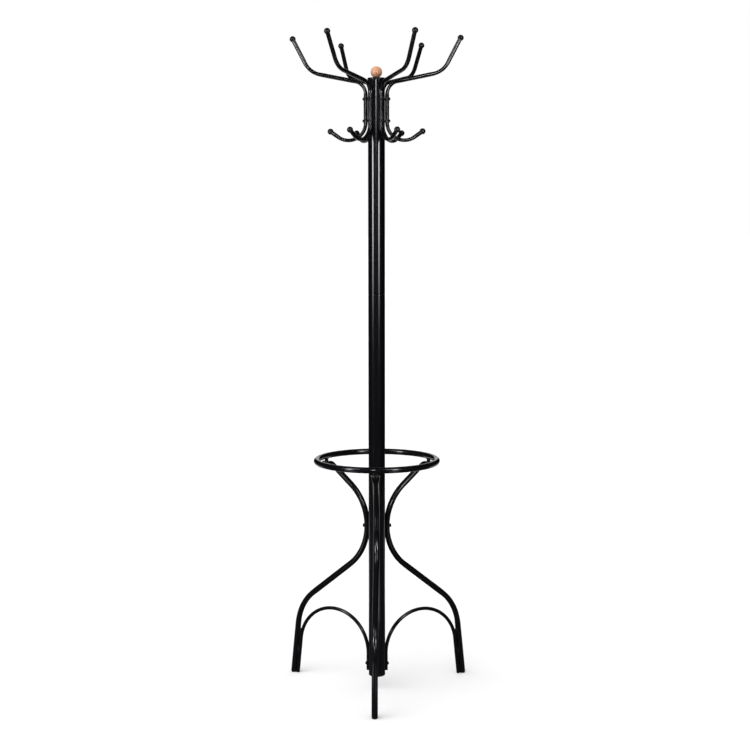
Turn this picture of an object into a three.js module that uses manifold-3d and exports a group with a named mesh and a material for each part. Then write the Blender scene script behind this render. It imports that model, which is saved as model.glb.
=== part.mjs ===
// A standing coat rack with an umbrella ring: a three-piece tubular pole, three S-bent legs that carry
// the ring, an arched brace under each leg, and a crown of six double hooks with a turned wooden finial.
// Millimetres, +Z up. The floor is z = 0 and the front leg points along -Y.

import * as THREE from "three";
import { mergeVertices } from "three/addons/utils/BufferGeometryUtils.js";
import Module from "manifold-3d";

const wasm = await Module();
wasm.setup();

// ---- driving dimensions ----------------------------------------------------------------------------
const clearance = 0.3; // between pieces that touch on the real rack
const past = 1; // how far a cutting tool runs past a face

// pole: three lengths of round tube, joined by sleeves inside
const poleRadius = 22;
const poleWall = 1.2;
const poleFoot = 45; // height of the lowest tube's cut end
const lowerSeam = 541;
const upperSeam = 1055;
const poleTop = 1610;
const sleeveLength = 120;
const sleeveWall = 1.5;
const stakeAboveSeam = 20; // punched dimple that locks a sleeve in its tube
const stakeAzimuth = -131;
const stakeRadius = 3;
const stakeDepth = 0.8;

// caps at the pole's two ends, and the finial on the upper one
const capWall = 2.4;
const topCapRadius = 23;
const topCapHeight = 5;
const topCapEdge = 1.5; // rolled edge of its rim
const topCapWeb = 1; // how deep its closed top reaches into the spigot
const topSpigot = 14;
const footCapHeight = 10;
const footCapEdge = 2;
const footCapFloor = 4;
const footCapNeck = 3; // bare neck between the tube's end and the cap's flange
const footSpigot = 9; // how far it reaches into the tube
const finialRadius = 15;
const finialSink = 1; // how deep the ball's flat is turned
const studRadius = 3;
const studLength = 32;

// legs: one bar each, from the foot, over the knee, past the pole and out again to the ring
const legAzimuths = { front: -90, right: 30, left: 150 };
const legRadius = 8;
const footReach = 270; // from the pole's axis to the middle of a foot
const legLean = 6.5; // of the shin, from upright
const kneeRadius = 132;
const thighSlope = 52; // of the long straight below the waist, from upright
const waistBend = 140; // both bends that meet at the waist
const waistHeight = 437; // where the bar touches the pole, and its screw goes in
const armSlope = 50; // of the straight above the waist, from upright
const footGap = 3; // from the floor to the bar's cut end
const glideRadius = 7.4; // of the plug's part below the bar
const glideEdge = 0.5;
const plugRadius = 6.2;
const plugDepth = 18;

// umbrella ring and the flattened leg ends that carry it
const ringRadius = 159;
const ringTube = 8;
const ringHeight = 615;
const bossRadius = 5;
const bossDrop = 5.5; // how far a boss reaches below the ring's underside
const padWidth = 23;
const padThickness = 4.4;
const padReach = 12; // of the flattened end past the ring's middle line
const padLength = 40;
const padBend = 18; // between the arm and its level end
const padTaper = 1; // how far its back end is inside the bar's sides
const threadDepth = 7.5; // of the hole in a boss

// braces: a thin arched bar from the pole's foot down the inside of the shin
const braceRadius = 5;
const archTop = 197;
const braceEndHeight = 42;
const braceFloorGap = 1.5;

// hooks: one thin bar each, with a high arm and a low crook
const hookCount = 6;
const headTurn = -2.7; // the upper tube sits turned a little in its joint
const hookRadius = 5.5;
const armTip = { reach: 217, height: 1715 };
const crookTip = { reach: 119.5, height: 1478 };
const shoulderHeight = 1573;
const shoulderBend = 34;
const armRise = 11.2; // of the arm's flat run, from level
const elbowBend = 55;
const tipSlope = 62.5; // of the arm's end, from level
const crookBend = 45;
const crookRise = 35; // of the crook's end, from level
const ballRadius = 8;
const ballLip = 0.4; // round the mouth of its socket

// screws: head radius, head height, shank radius and shank length; a head is a flat-sided dome
const headRim = 0.35; // height of its upright rim, as a share of the head's
const headShoulder = [0.75, 0.85]; // where the dome turns in, as shares of its radius and height
const hookScrew = { head: 3.9, rise: 2.6, shank: 2, length: 18 };
const legScrew = { head: 5.2, rise: 3.2, shank: 2.5, length: 26 };
const braceScrew = { head: 4.4, rise: 2.8, shank: 2, length: 20 };
const ringScrew = { head: 4.2, rise: 2.8, shank: 2, length: 9 };
const holeSlack = 0.5; // a hole's radius over its screw's
const legScrewLift = 0.6; // its head rests on its rim where the bar curves towards it
const hookScrewHeights = { upper: 1561, lower: 1505 };
const braceScrewHeight = 60;

// facets
const poleSides = 28;
const barSides = 12;
const ringSteps = 36;
const boltSides = 8;
const screwSides = 10;
const finialSides = 18;
const finialRings = 9;
const ballRings = 7;
const bendStep = 11; // degrees of bend to a facet

// ---- materials -------------------------------------------------------------------------------------
const blackEnamel = new THREE.MeshStandardMaterial({ color: 0x0d0d10, roughness: 0.2, metalness: 0 });
const blackPlastic = new THREE.MeshStandardMaterial({ color: 0x101012, roughness: 0.35, metalness: 0 });
const blackScrew = new THREE.MeshStandardMaterial({ color: 0x151517, roughness: 0.4, metalness: 0.6 });
const zincSteel = new THREE.MeshStandardMaterial({ color: 0x9a9da0, roughness: 0.4, metalness: 1 });
const turnedBeech = new THREE.MeshStandardMaterial({ color: 0xc89a72, roughness: 0.45, metalness: 0 });

// ---- solids ----------------------------------------------------------------------------------------
const rad = THREE.MathUtils.degToRad;
const wallRadius = poleRadius + clearance; // where a bar may lie against the pole

function toSolid(geometry) {
  const bare = geometry.clone();
  bare.deleteAttribute("normal");
  bare.deleteAttribute("uv");
  const merged = mergeVertices(bare, 1e-4);
  return new wasm.Manifold(
    new wasm.Mesh({
      numProp: 3,
      vertProperties: merged.attributes.position.array,
      triVerts: new Uint32Array(merged.index.array),
    }),
  );
}

function toGeometry(solid) {
  const mesh = solid.getMesh();
  const geometry = new THREE.BufferGeometry();
  geometry.setAttribute("position", new THREE.BufferAttribute(mesh.vertProperties, 3));
  geometry.setIndex(new THREE.BufferAttribute(mesh.triVerts, 1));
  return geometry;
}

const cut = (geometry, ...tools) =>
  toGeometry(tools.reduce((solid, tool) => solid.subtract(toSolid(tool)), toSolid(geometry)));

const join = (geometry, ...others) =>
  toGeometry(others.reduce((solid, other) => solid.add(toSolid(other)), toSolid(geometry)));

// A turned piece: the profile lists [radius, height] from the axis at the bottom to the axis at the top.
function turned(profile, sides) {
  const outline = profile.map(([radius, height]) => new THREE.Vector2(radius, height));
  return new THREE.LatheGeometry(outline, sides).rotateX(Math.PI / 2);
}

const rod = (radius, from, to, sides) =>
  turned([[0, from], [radius, from], [radius, to], [0, to]], sides);

const tube = (outer, inner, from, to, sides) =>
  turned([[inner, from], [outer, from], [outer, to], [inner, to], [inner, from]], sides);

// A screw with a domed head: its shank runs down from z = 0 and its head stands above.
function screw({ head, rise, shank, length }) {
  const shoulder = [headShoulder[0] * head, headShoulder[1] * rise];
  const dome = [[head, 0], [head, headRim * rise], shoulder, [0, rise]];
  return turned([[0, -length], [shank, -length], [shank, 0], ...dome], screwSides);
}

// Turns a piece drawn along +Z so that it lies along +X, at a given radius and height.
const alongX = (geometry, x, z) => geometry.rotateY(Math.PI / 2).translate(x, 0, z);

// ---- bent bars -------------------------------------------------------------------------------------
// A bar is a list of straight runs and bends in the upright plane through the pole's axis, as a bending
// machine is set. Headings are degrees from +X towards +Z, and a positive bend turns the same way.
// A bar with two runs left open is fitted so that it ends at the target.
function fitRuns({ start, heading, moves, target }) {
  const open = [];
  let angle = rad(heading);
  let x = start[0];
  let z = start[1];
  for (const move of moves) {
    if (move.bend === undefined) {
      if (move.run === null) open.push([Math.cos(angle), Math.sin(angle), move]);
      x += (move.run ?? 0) * Math.cos(angle);
      z += (move.run ?? 0) * Math.sin(angle);
      continue;
    }
    const next = angle + rad(move.bend);
    const side = Math.sign(move.bend) * move.radius;
    x += side * (Math.sin(next) - Math.sin(angle));
    z -= side * (Math.cos(next) - Math.cos(angle));
    angle = next;
  }
  if (open.length !== 2) return moves;
  const [[ax, az, first], [bx, bz, second]] = open;
  const det = ax * bz - az * bx;
  const [gapX, gapZ] = [target[0] - x, target[1] - z];
  first.run = (gapX * bz - gapZ * bx) / det;
  second.run = (ax * gapZ - az * gapX) / det;
  return moves;
}

// The stations along a bar: both ends of each run, and a few through each bend.
function stationsOf({ start, heading, moves }) {
  let angle = rad(heading);
  const at = new THREE.Vector3(start[0], 0, start[1]);
  const stations = [{ point: at.clone(), angle }];
  for (const move of moves) {
    if (move.bend === undefined) {
      at.add(new THREE.Vector3(Math.cos(angle), 0, Math.sin(angle)).multiplyScalar(move.run));
      stations.push({ point: at.clone(), angle });
      continue;
    }
    const steps = Math.ceil(Math.abs(move.bend) / bendStep);
    const side = Math.sign(move.bend) * move.radius;
    for (let i = 0; i < steps; i++) {
      const next = angle + rad(move.bend / steps);
      at.x += side * (Math.sin(next) - Math.sin(angle));
      at.z -= side * (Math.cos(next) - Math.cos(angle));
      angle = next;
      stations.push({ point: at.clone(), angle });
    }
  }
  return stations;
}

// A curve that an extrusion samples at exactly those stations.
class BarLine extends THREE.Curve {
  constructor(stations) {
    super();
    this.stations = stations;
  }

  stationAt(u) {
    return this.stations[Math.round(u * (this.stations.length - 1))];
  }

  getPointAt(u, target = new THREE.Vector3()) {
    return target.copy(this.stationAt(u).point);
  }

  getTangentAt(u, target = new THREE.Vector3()) {
    const { angle } = this.stationAt(u);
    return target.set(Math.cos(angle), 0, Math.sin(angle));
  }
}

function bar(route, radius) {
  const stations = stationsOf({ ...route, moves: fitRuns(route) });
  const corners = [];
  for (let i = 0; i < barSides; i++) {
    const turn = (2 * Math.PI * i) / barSides;
    corners.push(new THREE.Vector2(radius * Math.cos(turn), radius * Math.sin(turn)));
  }
  return new THREE.ExtrudeGeometry(new THREE.Shape(corners), {
    steps: stations.length - 1,
    extrudePath: new BarLine(stations),
  });
}

// ---- pole ------------------------------------------------------------------------------------------
const sideHole = (shank, azimuth, height) =>
  alongX(rod(shank + holeSlack, 0, poleRadius + past, boltSides), 0, height).rotateZ(rad(azimuth));

function stake(seam) {
  const out = poleRadius + stakeRadius - stakeDepth;
  const dent = new THREE.SphereGeometry(stakeRadius, barSides, boltSides);
  return dent.translate(out, 0, seam + stakeAboveSeam).rotateZ(rad(stakeAzimuth));
}

const hookAzimuths = Array.from({ length: hookCount }, (_, i) => headTurn + (360 / hookCount) * i);
const legTurns = Object.values(legAzimuths);
const innerRadius = poleRadius - poleWall;

function poleLower() {
  const holes = legTurns.flatMap((azimuth) => [
    sideHole(legScrew.shank, azimuth, waistHeight),
    sideHole(braceScrew.shank, azimuth, braceScrewHeight),
  ]);
  return cut(tube(poleRadius, innerRadius, poleFoot, lowerSeam, poleSides), ...holes);
}

const poleMiddle = () =>
  cut(tube(poleRadius, innerRadius, lowerSeam + clearance, upperSeam, poleSides), stake(lowerSeam));

function poleUpper() {
  const holes = hookAzimuths.flatMap((azimuth) =>
    Object.values(hookScrewHeights).map((height) => sideHole(hookScrew.shank, azimuth, height)),
  );
  const wall = tube(poleRadius, innerRadius, upperSeam + clearance, poleTop, poleSides);
  return cut(wall, stake(upperSeam), ...holes);
}

function sleeve(seam) {
  const outer = innerRadius - clearance;
  return tube(outer, outer - sleeveWall, seam - sleeveLength / 2, seam + sleeveLength / 2, poleSides);
}

const capSpigot = innerRadius - clearance;
const capHollow = capSpigot - capWall;
const rimBottom = poleTop + clearance;
const capTop = rimBottom + topCapHeight;

function topCap() {
  const web = rimBottom - topCapWeb;
  const end = rimBottom - topSpigot;
  const profile = [
    [0, web], [capHollow, web], [capHollow, end], [capSpigot, end], [capSpigot, rimBottom],
    [topCapRadius, rimBottom], [topCapRadius, capTop - topCapEdge], [topCapRadius - topCapEdge, capTop],
    [0, capTop],
  ];
  const studHole = rod(studRadius + clearance, web - past, capTop + past, boltSides);
  return cut(turned(profile, poleSides), studHole);
}

function footCap() {
  const flangeTop = poleFoot - footCapNeck;
  const base = flangeTop - footCapHeight;
  const smallEdge = footCapEdge / 2;
  const end = poleFoot + footSpigot;
  const profile = [
    [0, base], [poleRadius - footCapEdge, base], [poleRadius, base + footCapEdge],
    [poleRadius, flangeTop - smallEdge], [poleRadius - smallEdge, flangeTop], [capSpigot, flangeTop],
    [capSpigot, end], [capHollow, end], [capHollow, base + footCapFloor], [0, base + footCapFloor],
  ];
  return turned(profile, poleSides);
}

// The outline of a ball, from a lowest angle below level up to its top.
function dome(radius, middle, lowest, rings) {
  const outline = [];
  for (let i = 0; i < rings; i++) {
    const tilt = lowest + ((Math.PI / 2 - lowest) * i) / rings;
    outline.push([radius * Math.cos(tilt), middle + radius * Math.sin(tilt)]);
  }
  return [...outline, [0, middle + radius]];
}

function finialBall() {
  const bottom = capTop + clearance;
  const toFlat = finialRadius - finialSink; // from the ball's middle
  const outline = dome(finialRadius, bottom + toFlat, -Math.asin(toFlat / finialRadius), finialRings);
  const bore = rod(studRadius + clearance, bottom - past, bottom + studLength / 2, boltSides);
  return cut(turned([[0, bottom], ...outline], finialSides), bore);
}

const finialStud = () =>
  rod(studRadius, capTop + clearance - studLength / 2, capTop + studLength / 2 - past, boltSides);

// ---- base ------------------------------------------------------------------------------------------
const waistReach = wallRadius + legRadius;
const bossBottom = ringHeight - ringTube - bossDrop;
const padMiddle = bossBottom - clearance - padThickness / 2;

const thighRoute = () => ({
  start: [footReach - footGap * Math.tan(rad(legLean)), footGap],
  heading: 90 + legLean,
  moves: [
    { run: null },
    { bend: thighSlope - legLean, radius: kneeRadius },
    { run: null },
    { bend: -thighSlope, radius: waistBend },
  ],
  target: [waistReach, waistHeight],
});

const armRoute = () => ({
  start: [waistReach, waistHeight],
  heading: 90,
  moves: [
    { bend: -armSlope, radius: waistBend },
    { run: null },
    { bend: armSlope - 90, radius: padBend },
    { run: null },
  ],
  target: [ringRadius, padMiddle],
});

const legRoute = () => {
  const thigh = thighRoute();
  return { ...thigh, moves: [...fitRuns(thigh), ...fitRuns(armRoute()).slice(0, 2)] };
};

// The pressed end: a level pad with round ends, just under the ring, that runs back into the bar.
function legPad() {
  const half = padWidth / 2;
  const back = ringRadius + padReach - padLength;
  const tip = ringRadius + padReach - half;
  const outline = new THREE.Shape();
  outline.absarc(tip, 0, half, -Math.PI / 2, Math.PI / 2);
  outline.lineTo(back, legRadius - padTaper);
  outline.lineTo(back, padTaper - legRadius);
  const pressed = { depth: padThickness, bevelEnabled: false, curveSegments: barSides };
  return new THREE.ExtrudeGeometry(outline, pressed).translate(0, 0, padMiddle - padThickness / 2);
}

function leg() {
  const socket = rod(plugRadius + clearance, -past, plugDepth + past, barSides)
    .rotateY(-rad(legLean))
    .translate(footReach - footGap * Math.tan(rad(legLean)), 0, footGap);
  const body = join(bar(legRoute(), legRadius), legPad());
  const pilot = rod(ringScrew.shank + holeSlack, -padThickness, padThickness, boltSides)
    .translate(ringRadius, 0, padMiddle);
  const through = alongX(
    rod(legScrew.shank + holeSlack, -2 * legRadius, 2 * legRadius, boltSides),
    waistReach,
    waistHeight,
  );
  return cut(body, socket, pilot, through);
}

// A glide pushed into the bar's end, cut level where it stands on the floor.
function footPlug() {
  const drop = 2 * footGap;
  const home = footGap / Math.cos(rad(legLean)) - clearance;
  const profile = [
    [0, -drop], [glideRadius, -drop], [glideRadius, home - glideEdge], [glideRadius - glideEdge, home],
    [plugRadius, home], [plugRadius, plugDepth], [0, plugDepth],
  ];
  const glide = turned(profile, barSides).rotateY(-rad(legLean)).translate(footReach, 0, 0);
  const block = 4 * legRadius;
  const below = new THREE.BoxGeometry(block, block, block).translate(footReach, 0, -block / 2);
  return cut(glide, below);
}

const braceReach = wallRadius + braceRadius;

function braceRoute() {
  const lean = rad(legLean);
  const apart = legRadius + braceRadius + clearance; // between the two bars' middle lines
  const span = (footReach - braceReach) * Math.cos(lean) - archTop * Math.sin(lean) - apart;
  const radius = span / (1 + Math.cos(lean) - Math.sin(lean));
  const floorX = footReach - apart / Math.cos(lean) - braceFloorGap * Math.tan(lean);
  return {
    start: [braceReach, braceEndHeight],
    heading: 90,
    moves: [{ run: null }, { bend: legLean - 180, radius }, { run: null }],
    target: [floorX, braceFloorGap],
  };
}

function brace() {
  const through = alongX(
    rod(braceScrew.shank + holeSlack, -2 * braceRadius, 2 * braceRadius, boltSides),
    braceReach,
    braceScrewHeight,
  );
  return cut(bar(braceRoute(), braceRadius), through);
}

function umbrellaRing() {
  const hoop = new THREE.TorusGeometry(ringRadius, ringTube, barSides, ringSteps);
  const bosses = legTurns.map((azimuth) =>
    rod(bossRadius, bossBottom, ringHeight, barSides).translate(ringRadius, 0, 0).rotateZ(rad(azimuth)),
  );
  const threads = legTurns.map((azimuth) =>
    rod(ringScrew.shank + holeSlack, bossBottom - past, bossBottom + threadDepth, boltSides)
      .translate(ringRadius, 0, 0)
      .rotateZ(rad(azimuth)),
  );
  return cut(join(hoop.translate(0, 0, ringHeight), ...bosses), ...threads);
}

// ---- hooks -----------------------------------------------------------------------------------------
const hookReach = wallRadius + hookRadius;
const hookMiddle = (hookScrewHeights.upper + hookScrewHeights.lower) / 2;

const crookRoute = () => ({
  start: [hookReach, hookMiddle],
  heading: -90,
  moves: [{ run: null }, { bend: 90 + crookRise, radius: crookBend }, { run: null }],
  target: [crookTip.reach, crookTip.height],
});

const hookArmRoute = () => ({
  start: [hookReach, hookMiddle],
  heading: 90,
  moves: [
    { run: shoulderHeight - hookMiddle },
    { bend: armRise - 90, radius: shoulderBend },
    { run: null },
    { bend: tipSlope - armRise, radius: elbowBend },
    { run: null },
  ],
  target: [armTip.reach, armTip.height],
});

// The same route from its other end, so that the whole hook is one bar from low tip to high tip.
function reversed(route) {
  const moves = fitRuns(route);
  const turn = moves.reduce((sum, move) => sum + (move.bend ?? 0), 0);
  return {
    start: route.target,
    heading: route.heading + turn + 180,
    moves: moves
      .toReversed()
      .map((move) => (move.bend === undefined ? move : { ...move, bend: -move.bend })),
  };
}

function hook() {
  const crook = reversed(crookRoute());
  const arm = fitRuns(hookArmRoute());
  const holes = Object.values(hookScrewHeights).map((height) =>
    alongX(
      rod(hookScrew.shank + holeSlack, -2 * hookRadius, 2 * hookRadius, boltSides),
      hookReach,
      height,
    ),
  );
  return cut(bar({ ...crook, moves: [...crook.moves, ...arm] }, hookRadius), ...holes);
}

// A ball pushed over a bar's end, drawn with its mouth facing down from its middle.
function tipBall() {
  const socket = hookRadius + clearance;
  const lowest = -Math.acos((socket + ballLip) / ballRadius);
  const mouth = ballRadius * Math.sin(lowest);
  const inside = [[0, clearance], [socket, clearance], [socket, mouth]];
  return turned([...inside, ...dome(ballRadius, 0, lowest, ballRings)], barSides);
}

// ---- assembly --------------------------------------------------------------------------------------
// The origin is the middle of the rack's footprint, so the pole stands behind it: the front foot reaches
// further forward than the rear hooks reach back.
const rearReach = armTip.reach * Math.sin(rad(360 / hookCount - headTurn)) + ballRadius;
const frontReach = footReach + legRadius;
const poleSetback = (frontReach - rearReach) / 2;

const rack = new THREE.Group();
rack.position.y = poleSetback;

function place(parent, name, geometry, material) {
  const mesh = new THREE.Mesh(geometry, material);
  mesh.name = name;
  parent.add(mesh);
  return mesh;
}

function arm(azimuth) {
  const group = new THREE.Group();
  group.rotation.z = rad(azimuth);
  rack.add(group);
  return group;
}

place(rack, "pole_lower", poleLower(), blackEnamel);
place(rack, "pole_middle", poleMiddle(), blackEnamel);
place(rack, "pole_upper", poleUpper(), blackEnamel);
place(rack, "sleeve_lower", sleeve(lowerSeam), zincSteel);
place(rack, "sleeve_upper", sleeve(upperSeam), zincSteel);
place(rack, "pole_top_cap", topCap(), blackPlastic);
place(rack, "pole_foot_cap", footCap(), blackPlastic);
place(rack, "finial_ball", finialBall(), turnedBeech);
place(rack, "finial_stud", finialStud(), zincSteel);
place(rack, "umbrella_ring", umbrellaRing(), blackEnamel);

for (const [side, azimuth] of Object.entries(legAzimuths)) {
  const plane = arm(azimuth);
  place(plane, `${side}_leg`, leg(), blackEnamel);
  place(plane, `${side}_foot_plug`, footPlug(), blackPlastic);
  place(plane, `${side}_brace`, brace(), blackEnamel);
  const legFace = waistReach + legRadius + clearance + legScrewLift;
  place(plane, `${side}_leg_screw`, alongX(screw(legScrew), legFace, waistHeight), blackScrew);
  const braceFace = braceReach + braceRadius + clearance;
  place(plane, `${side}_brace_screw`, alongX(screw(braceScrew), braceFace, braceScrewHeight), blackScrew);
  const under = padMiddle - padThickness / 2 - clearance;
  const upward = screw(ringScrew).rotateX(Math.PI).translate(ringRadius, 0, under);
  place(plane, `${side}_ring_screw`, upward, blackScrew);
}

const hookNames = ["right", "rear_right", "rear_left", "left", "front_left", "front_right"];
hookNames.forEach((side, i) => {
  const plane = arm(hookAzimuths[i]);
  place(plane, `${side}_hook`, hook(), blackEnamel);
  for (const [level, height] of Object.entries(hookScrewHeights)) {
    const outside = hookReach + hookRadius + clearance;
    place(plane, `${side}_hook_${level}_screw`, alongX(screw(hookScrew), outside, height), blackScrew);
  }
  const high = place(plane, `${side}_hook_upper_ball`, tipBall(), blackPlastic);
  high.position.set(armTip.reach, 0, armTip.height);
  high.rotation.y = rad(90 - tipSlope);
  const low = place(plane, `${side}_hook_lower_ball`, tipBall(), blackPlastic);
  low.position.set(crookTip.reach, 0, crookTip.height);
  low.rotation.y = rad(90 - crookRise);
});

const model = new THREE.Group();
model.add(rack);
export default model;
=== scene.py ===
# %% [markdown]
# # A standing coat rack
# The rack is steel tube, bent cold, screwed to a tall pole and enamelled black, with a turned wooden ball on
# top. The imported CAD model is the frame: it says where each piece is. This lesson builds a finer mesh for
# every piece that shows, in the same place, and gives each one the finish that its maker gave it.

# %% Open the frame
import math

import bmesh
import bpy
from mathutils import Matrix, Vector


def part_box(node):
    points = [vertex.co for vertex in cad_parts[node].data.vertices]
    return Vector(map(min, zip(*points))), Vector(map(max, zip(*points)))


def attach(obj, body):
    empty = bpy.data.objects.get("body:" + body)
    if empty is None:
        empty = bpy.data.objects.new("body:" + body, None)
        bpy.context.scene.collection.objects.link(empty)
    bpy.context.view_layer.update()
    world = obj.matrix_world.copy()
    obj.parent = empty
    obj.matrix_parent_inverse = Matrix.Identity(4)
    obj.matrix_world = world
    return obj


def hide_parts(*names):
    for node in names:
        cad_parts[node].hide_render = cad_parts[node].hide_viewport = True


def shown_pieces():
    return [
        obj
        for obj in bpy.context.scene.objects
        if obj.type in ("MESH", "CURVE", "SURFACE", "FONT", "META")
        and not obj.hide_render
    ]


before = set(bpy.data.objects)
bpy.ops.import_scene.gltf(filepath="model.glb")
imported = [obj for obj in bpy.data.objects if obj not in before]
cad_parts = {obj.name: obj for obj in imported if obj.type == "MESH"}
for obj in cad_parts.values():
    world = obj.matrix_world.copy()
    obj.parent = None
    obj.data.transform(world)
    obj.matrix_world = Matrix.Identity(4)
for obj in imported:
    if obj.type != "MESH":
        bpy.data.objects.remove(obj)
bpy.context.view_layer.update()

MM = 0.001

# %% [markdown]
# ## Where the pole stands
# Every bar of the rack lies in an upright plane through the pole's middle line, so that line is the one place
# to measure from. The frame's origin is the middle of the footprint, and the pole stands a little behind it.

# %% Find the pole's axis and the heights
def span(node):
    """A CAD node's lowest and highest corner in millimetres."""
    low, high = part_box(node)
    return low / MM, high / MM


pole_low, pole_high = span("pole_middle")
AXIS = (pole_low + pole_high) / 2
AXIS.z = 0
POLE_FOOT = span("pole_lower")[0].z
LOWER_SEAM = span("pole_lower")[1].z
UPPER_SEAM = pole_high.z
POLE_TOP = span("pole_upper")[1].z
GAP = pole_low.z - LOWER_SEAM
RING_TUBE = 8
RING_HEIGHT = span("umbrella_ring")[1].z - RING_TUBE
print("axis", [round(v, 2) for v in AXIS], "seams", round(LOWER_SEAM, 1), round(UPPER_SEAM, 1))

# %% [markdown]
# ## The camera
# A tall, thin object is shot from far away with a long lens, so that its top and its feet keep their true
# proportions. The camera stands at chest height, looks down a little, and a few degrees round to one side.
# It is made first, because the light below is placed from where it stands.

# %% Set up the camera
EYE_BACK = 4.156
EYE_HEIGHT = 1.2886
EYE_SIDE = -0.0045
LOOK_DOWN = 0.1068
ROLL = -0.0012
TURN = math.radians(1.35)

camera_data = bpy.data.cameras.new("camera")
camera_data.lens = 76.13
camera_data.sensor_width = 36
camera = bpy.data.objects.new("camera", camera_data)
bpy.context.scene.collection.objects.link(camera)
around = Matrix.Translation(AXIS * MM) @ Matrix.Rotation(TURN, 4, "Z")
tilt = Matrix.Rotation(math.pi / 2 - LOOK_DOWN, 4, "X") @ Matrix.Rotation(ROLL, 4, "Z")
camera.matrix_world = around @ Matrix.Translation((EYE_SIDE, -EYE_BACK, EYE_HEIGHT)) @ tilt
bpy.context.scene.camera = camera
print("camera at", [round(v, 3) for v in camera.matrix_world.translation])

# %% [markdown]
# ## Small tools for finishes
# Colours are written as the hex values of a colour chart, which are sRGB, and Blender mixes light in linear
# values, so one function turns the first into the second. Another adds a node with its settings and its links
# in one line, so that a finish reads from top to bottom like a recipe. The rest start a material, feed nodes
# into its shader, and turn a size in millimetres into a pattern's scale.

# %% Colour and node helpers
def linear(hex_colour):
    """An sRGB hex colour as linear red, green, blue and alpha."""
    parts = [int(hex_colour[i:i + 2], 16) / 255 for i in (1, 3, 5)]
    return [p / 12.92 if p <= 0.04045 else ((p + 0.055) / 1.055) ** 2.4 for p in parts] + [1.0]


def add(tree, kind, inputs=(), **settings):
    """A new node with its settings, and its inputs as values or as links from other nodes' sockets."""
    made = tree.nodes.new("ShaderNode" + kind)
    for name, value in settings.items():
        setattr(made, name, value)
    for name, value in dict(inputs).items():
        if isinstance(value, bpy.types.NodeSocket):
            tree.links.new(value, made.inputs[name])
        else:
            made.inputs[name].default_value = value
    return made


def bare_material(name):
    """A new material with an empty node tree."""
    material = bpy.data.materials.new(name)
    material.use_nodes = True
    material.node_tree.nodes.clear()
    return material, material.node_tree


def feed(tree, shader, sockets):
    """Link nodes' sockets into a shader's inputs."""
    for name, socket in sockets.items():
        tree.links.new(socket, shader.inputs[name])


def finish(name, values):
    """A new material with one Principled shader set to these values, and its node tree."""
    material, tree = bare_material(name)
    shader = add(tree, "BsdfPrincipled", values)
    add(tree, "OutputMaterial", {"Surface": shader.outputs["BSDF"]})
    return material, tree, shader


def per_mm(size):
    """The texture scale that makes a feature of this size in millimetres, on coordinates in metres."""
    return 1 / (size * MM)


FACTOR, FIRST, SECOND = 0, 6, 7  # a colour Mix node's inputs
MIXED = 2  # and its output
print("mid grey is", round(linear("#808080")[0], 3), "in linear light")

# %% [markdown]
# ## Stoved enamel
# The tubes are mild steel, sprayed with black enamel and baked. It gives a deep, almost wet black. The film's
# surface mirrors sharply and the pigment below it adds a wider, weaker reflection, so the shader is a clear
# coat over a rougher base. With the sharp reflection alone, the highlights also render grainy. Up close the
# film has orange peel, shallow waves about 3 mm across left as the spray levels, and its gloss drifts a little
# from place to place. A little settled dust shows only on faces that look up.

# %% Make the stoved black enamel
FILM_ROUGHNESS = (0.09, 0.13)
PIGMENT_ROUGHNESS = 0.29
DUST_ROUGHNESS = 0.5


def stoved_black_enamel():
    material, tree, shader = finish("stoved_black_enamel", {"IOR": 1.26, "Coat Weight": 1.0, "Coat IOR": 1.5})
    place = add(tree, "TexCoord").outputs["Object"]
    drift = add(tree, "TexNoise", {"Vector": place, "Scale": per_mm(30), "Detail": 2.0})
    gloss = add(tree, "MapRange", {"Value": drift.outputs["Fac"], "From Min": 0.3, "From Max": 0.7,
                                   "To Min": FILM_ROUGHNESS[0], "To Max": FILM_ROUGHNESS[1]})
    specks = add(tree, "TexNoise", {"Vector": place, "Scale": per_mm(1.2), "Detail": 1.0})
    dust = add(tree, "MapRange", {"Value": specks.outputs["Fac"], "From Min": 0.66, "From Max": 0.74})
    facing = add(tree, "SeparateXYZ", {"Vector": add(tree, "NewGeometry").outputs["Normal"]})
    upward = add(tree, "MapRange", {"Value": facing.outputs["Z"], "From Min": 0.6, "From Max": 0.95})
    settled = add(tree, "Math", {0: dust.outputs["Result"], 1: upward.outputs["Result"]},
                  operation="MULTIPLY").outputs[0]
    colour = add(tree, "Mix", {FACTOR: settled, FIRST: linear("#0a090c"), SECOND: linear("#2e2c2b")},
                 data_type="RGBA")
    rough = add(tree, "MapRange", {"Value": settled, "To Min": PIGMENT_ROUGHNESS, "To Max": DUST_ROUGHNESS})
    peel = add(tree, "TexNoise", {"Vector": place, "Scale": per_mm(3), "Detail": 1.0, "Roughness": 0.4})
    waves = add(tree, "Bump", {"Height": peel.outputs["Fac"], "Strength": 0.5, "Distance": 0.004 * MM})
    feed(tree, shader, {"Base Color": colour.outputs[MIXED], "Roughness": rough.outputs["Result"],
                        "Normal": waves.outputs["Normal"], "Coat Roughness": gloss.outputs["Result"],
                        "Coat Normal": waves.outputs["Normal"]})
    return material


enamel = stoved_black_enamel()
print("finish:", enamel.name)

# %% [markdown]
# ## Moulded polypropylene
# The hook balls, both pole caps and the foot glides are injection moulded in black polypropylene. The mould
# was spark eroded, which leaves a fine even grain, so the plastic shines softly where the enamel is sharp.
# The true grain is about 0.1 mm; it is drawn at 0.6 mm, the finest that shows from a hand's breadth away.

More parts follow.
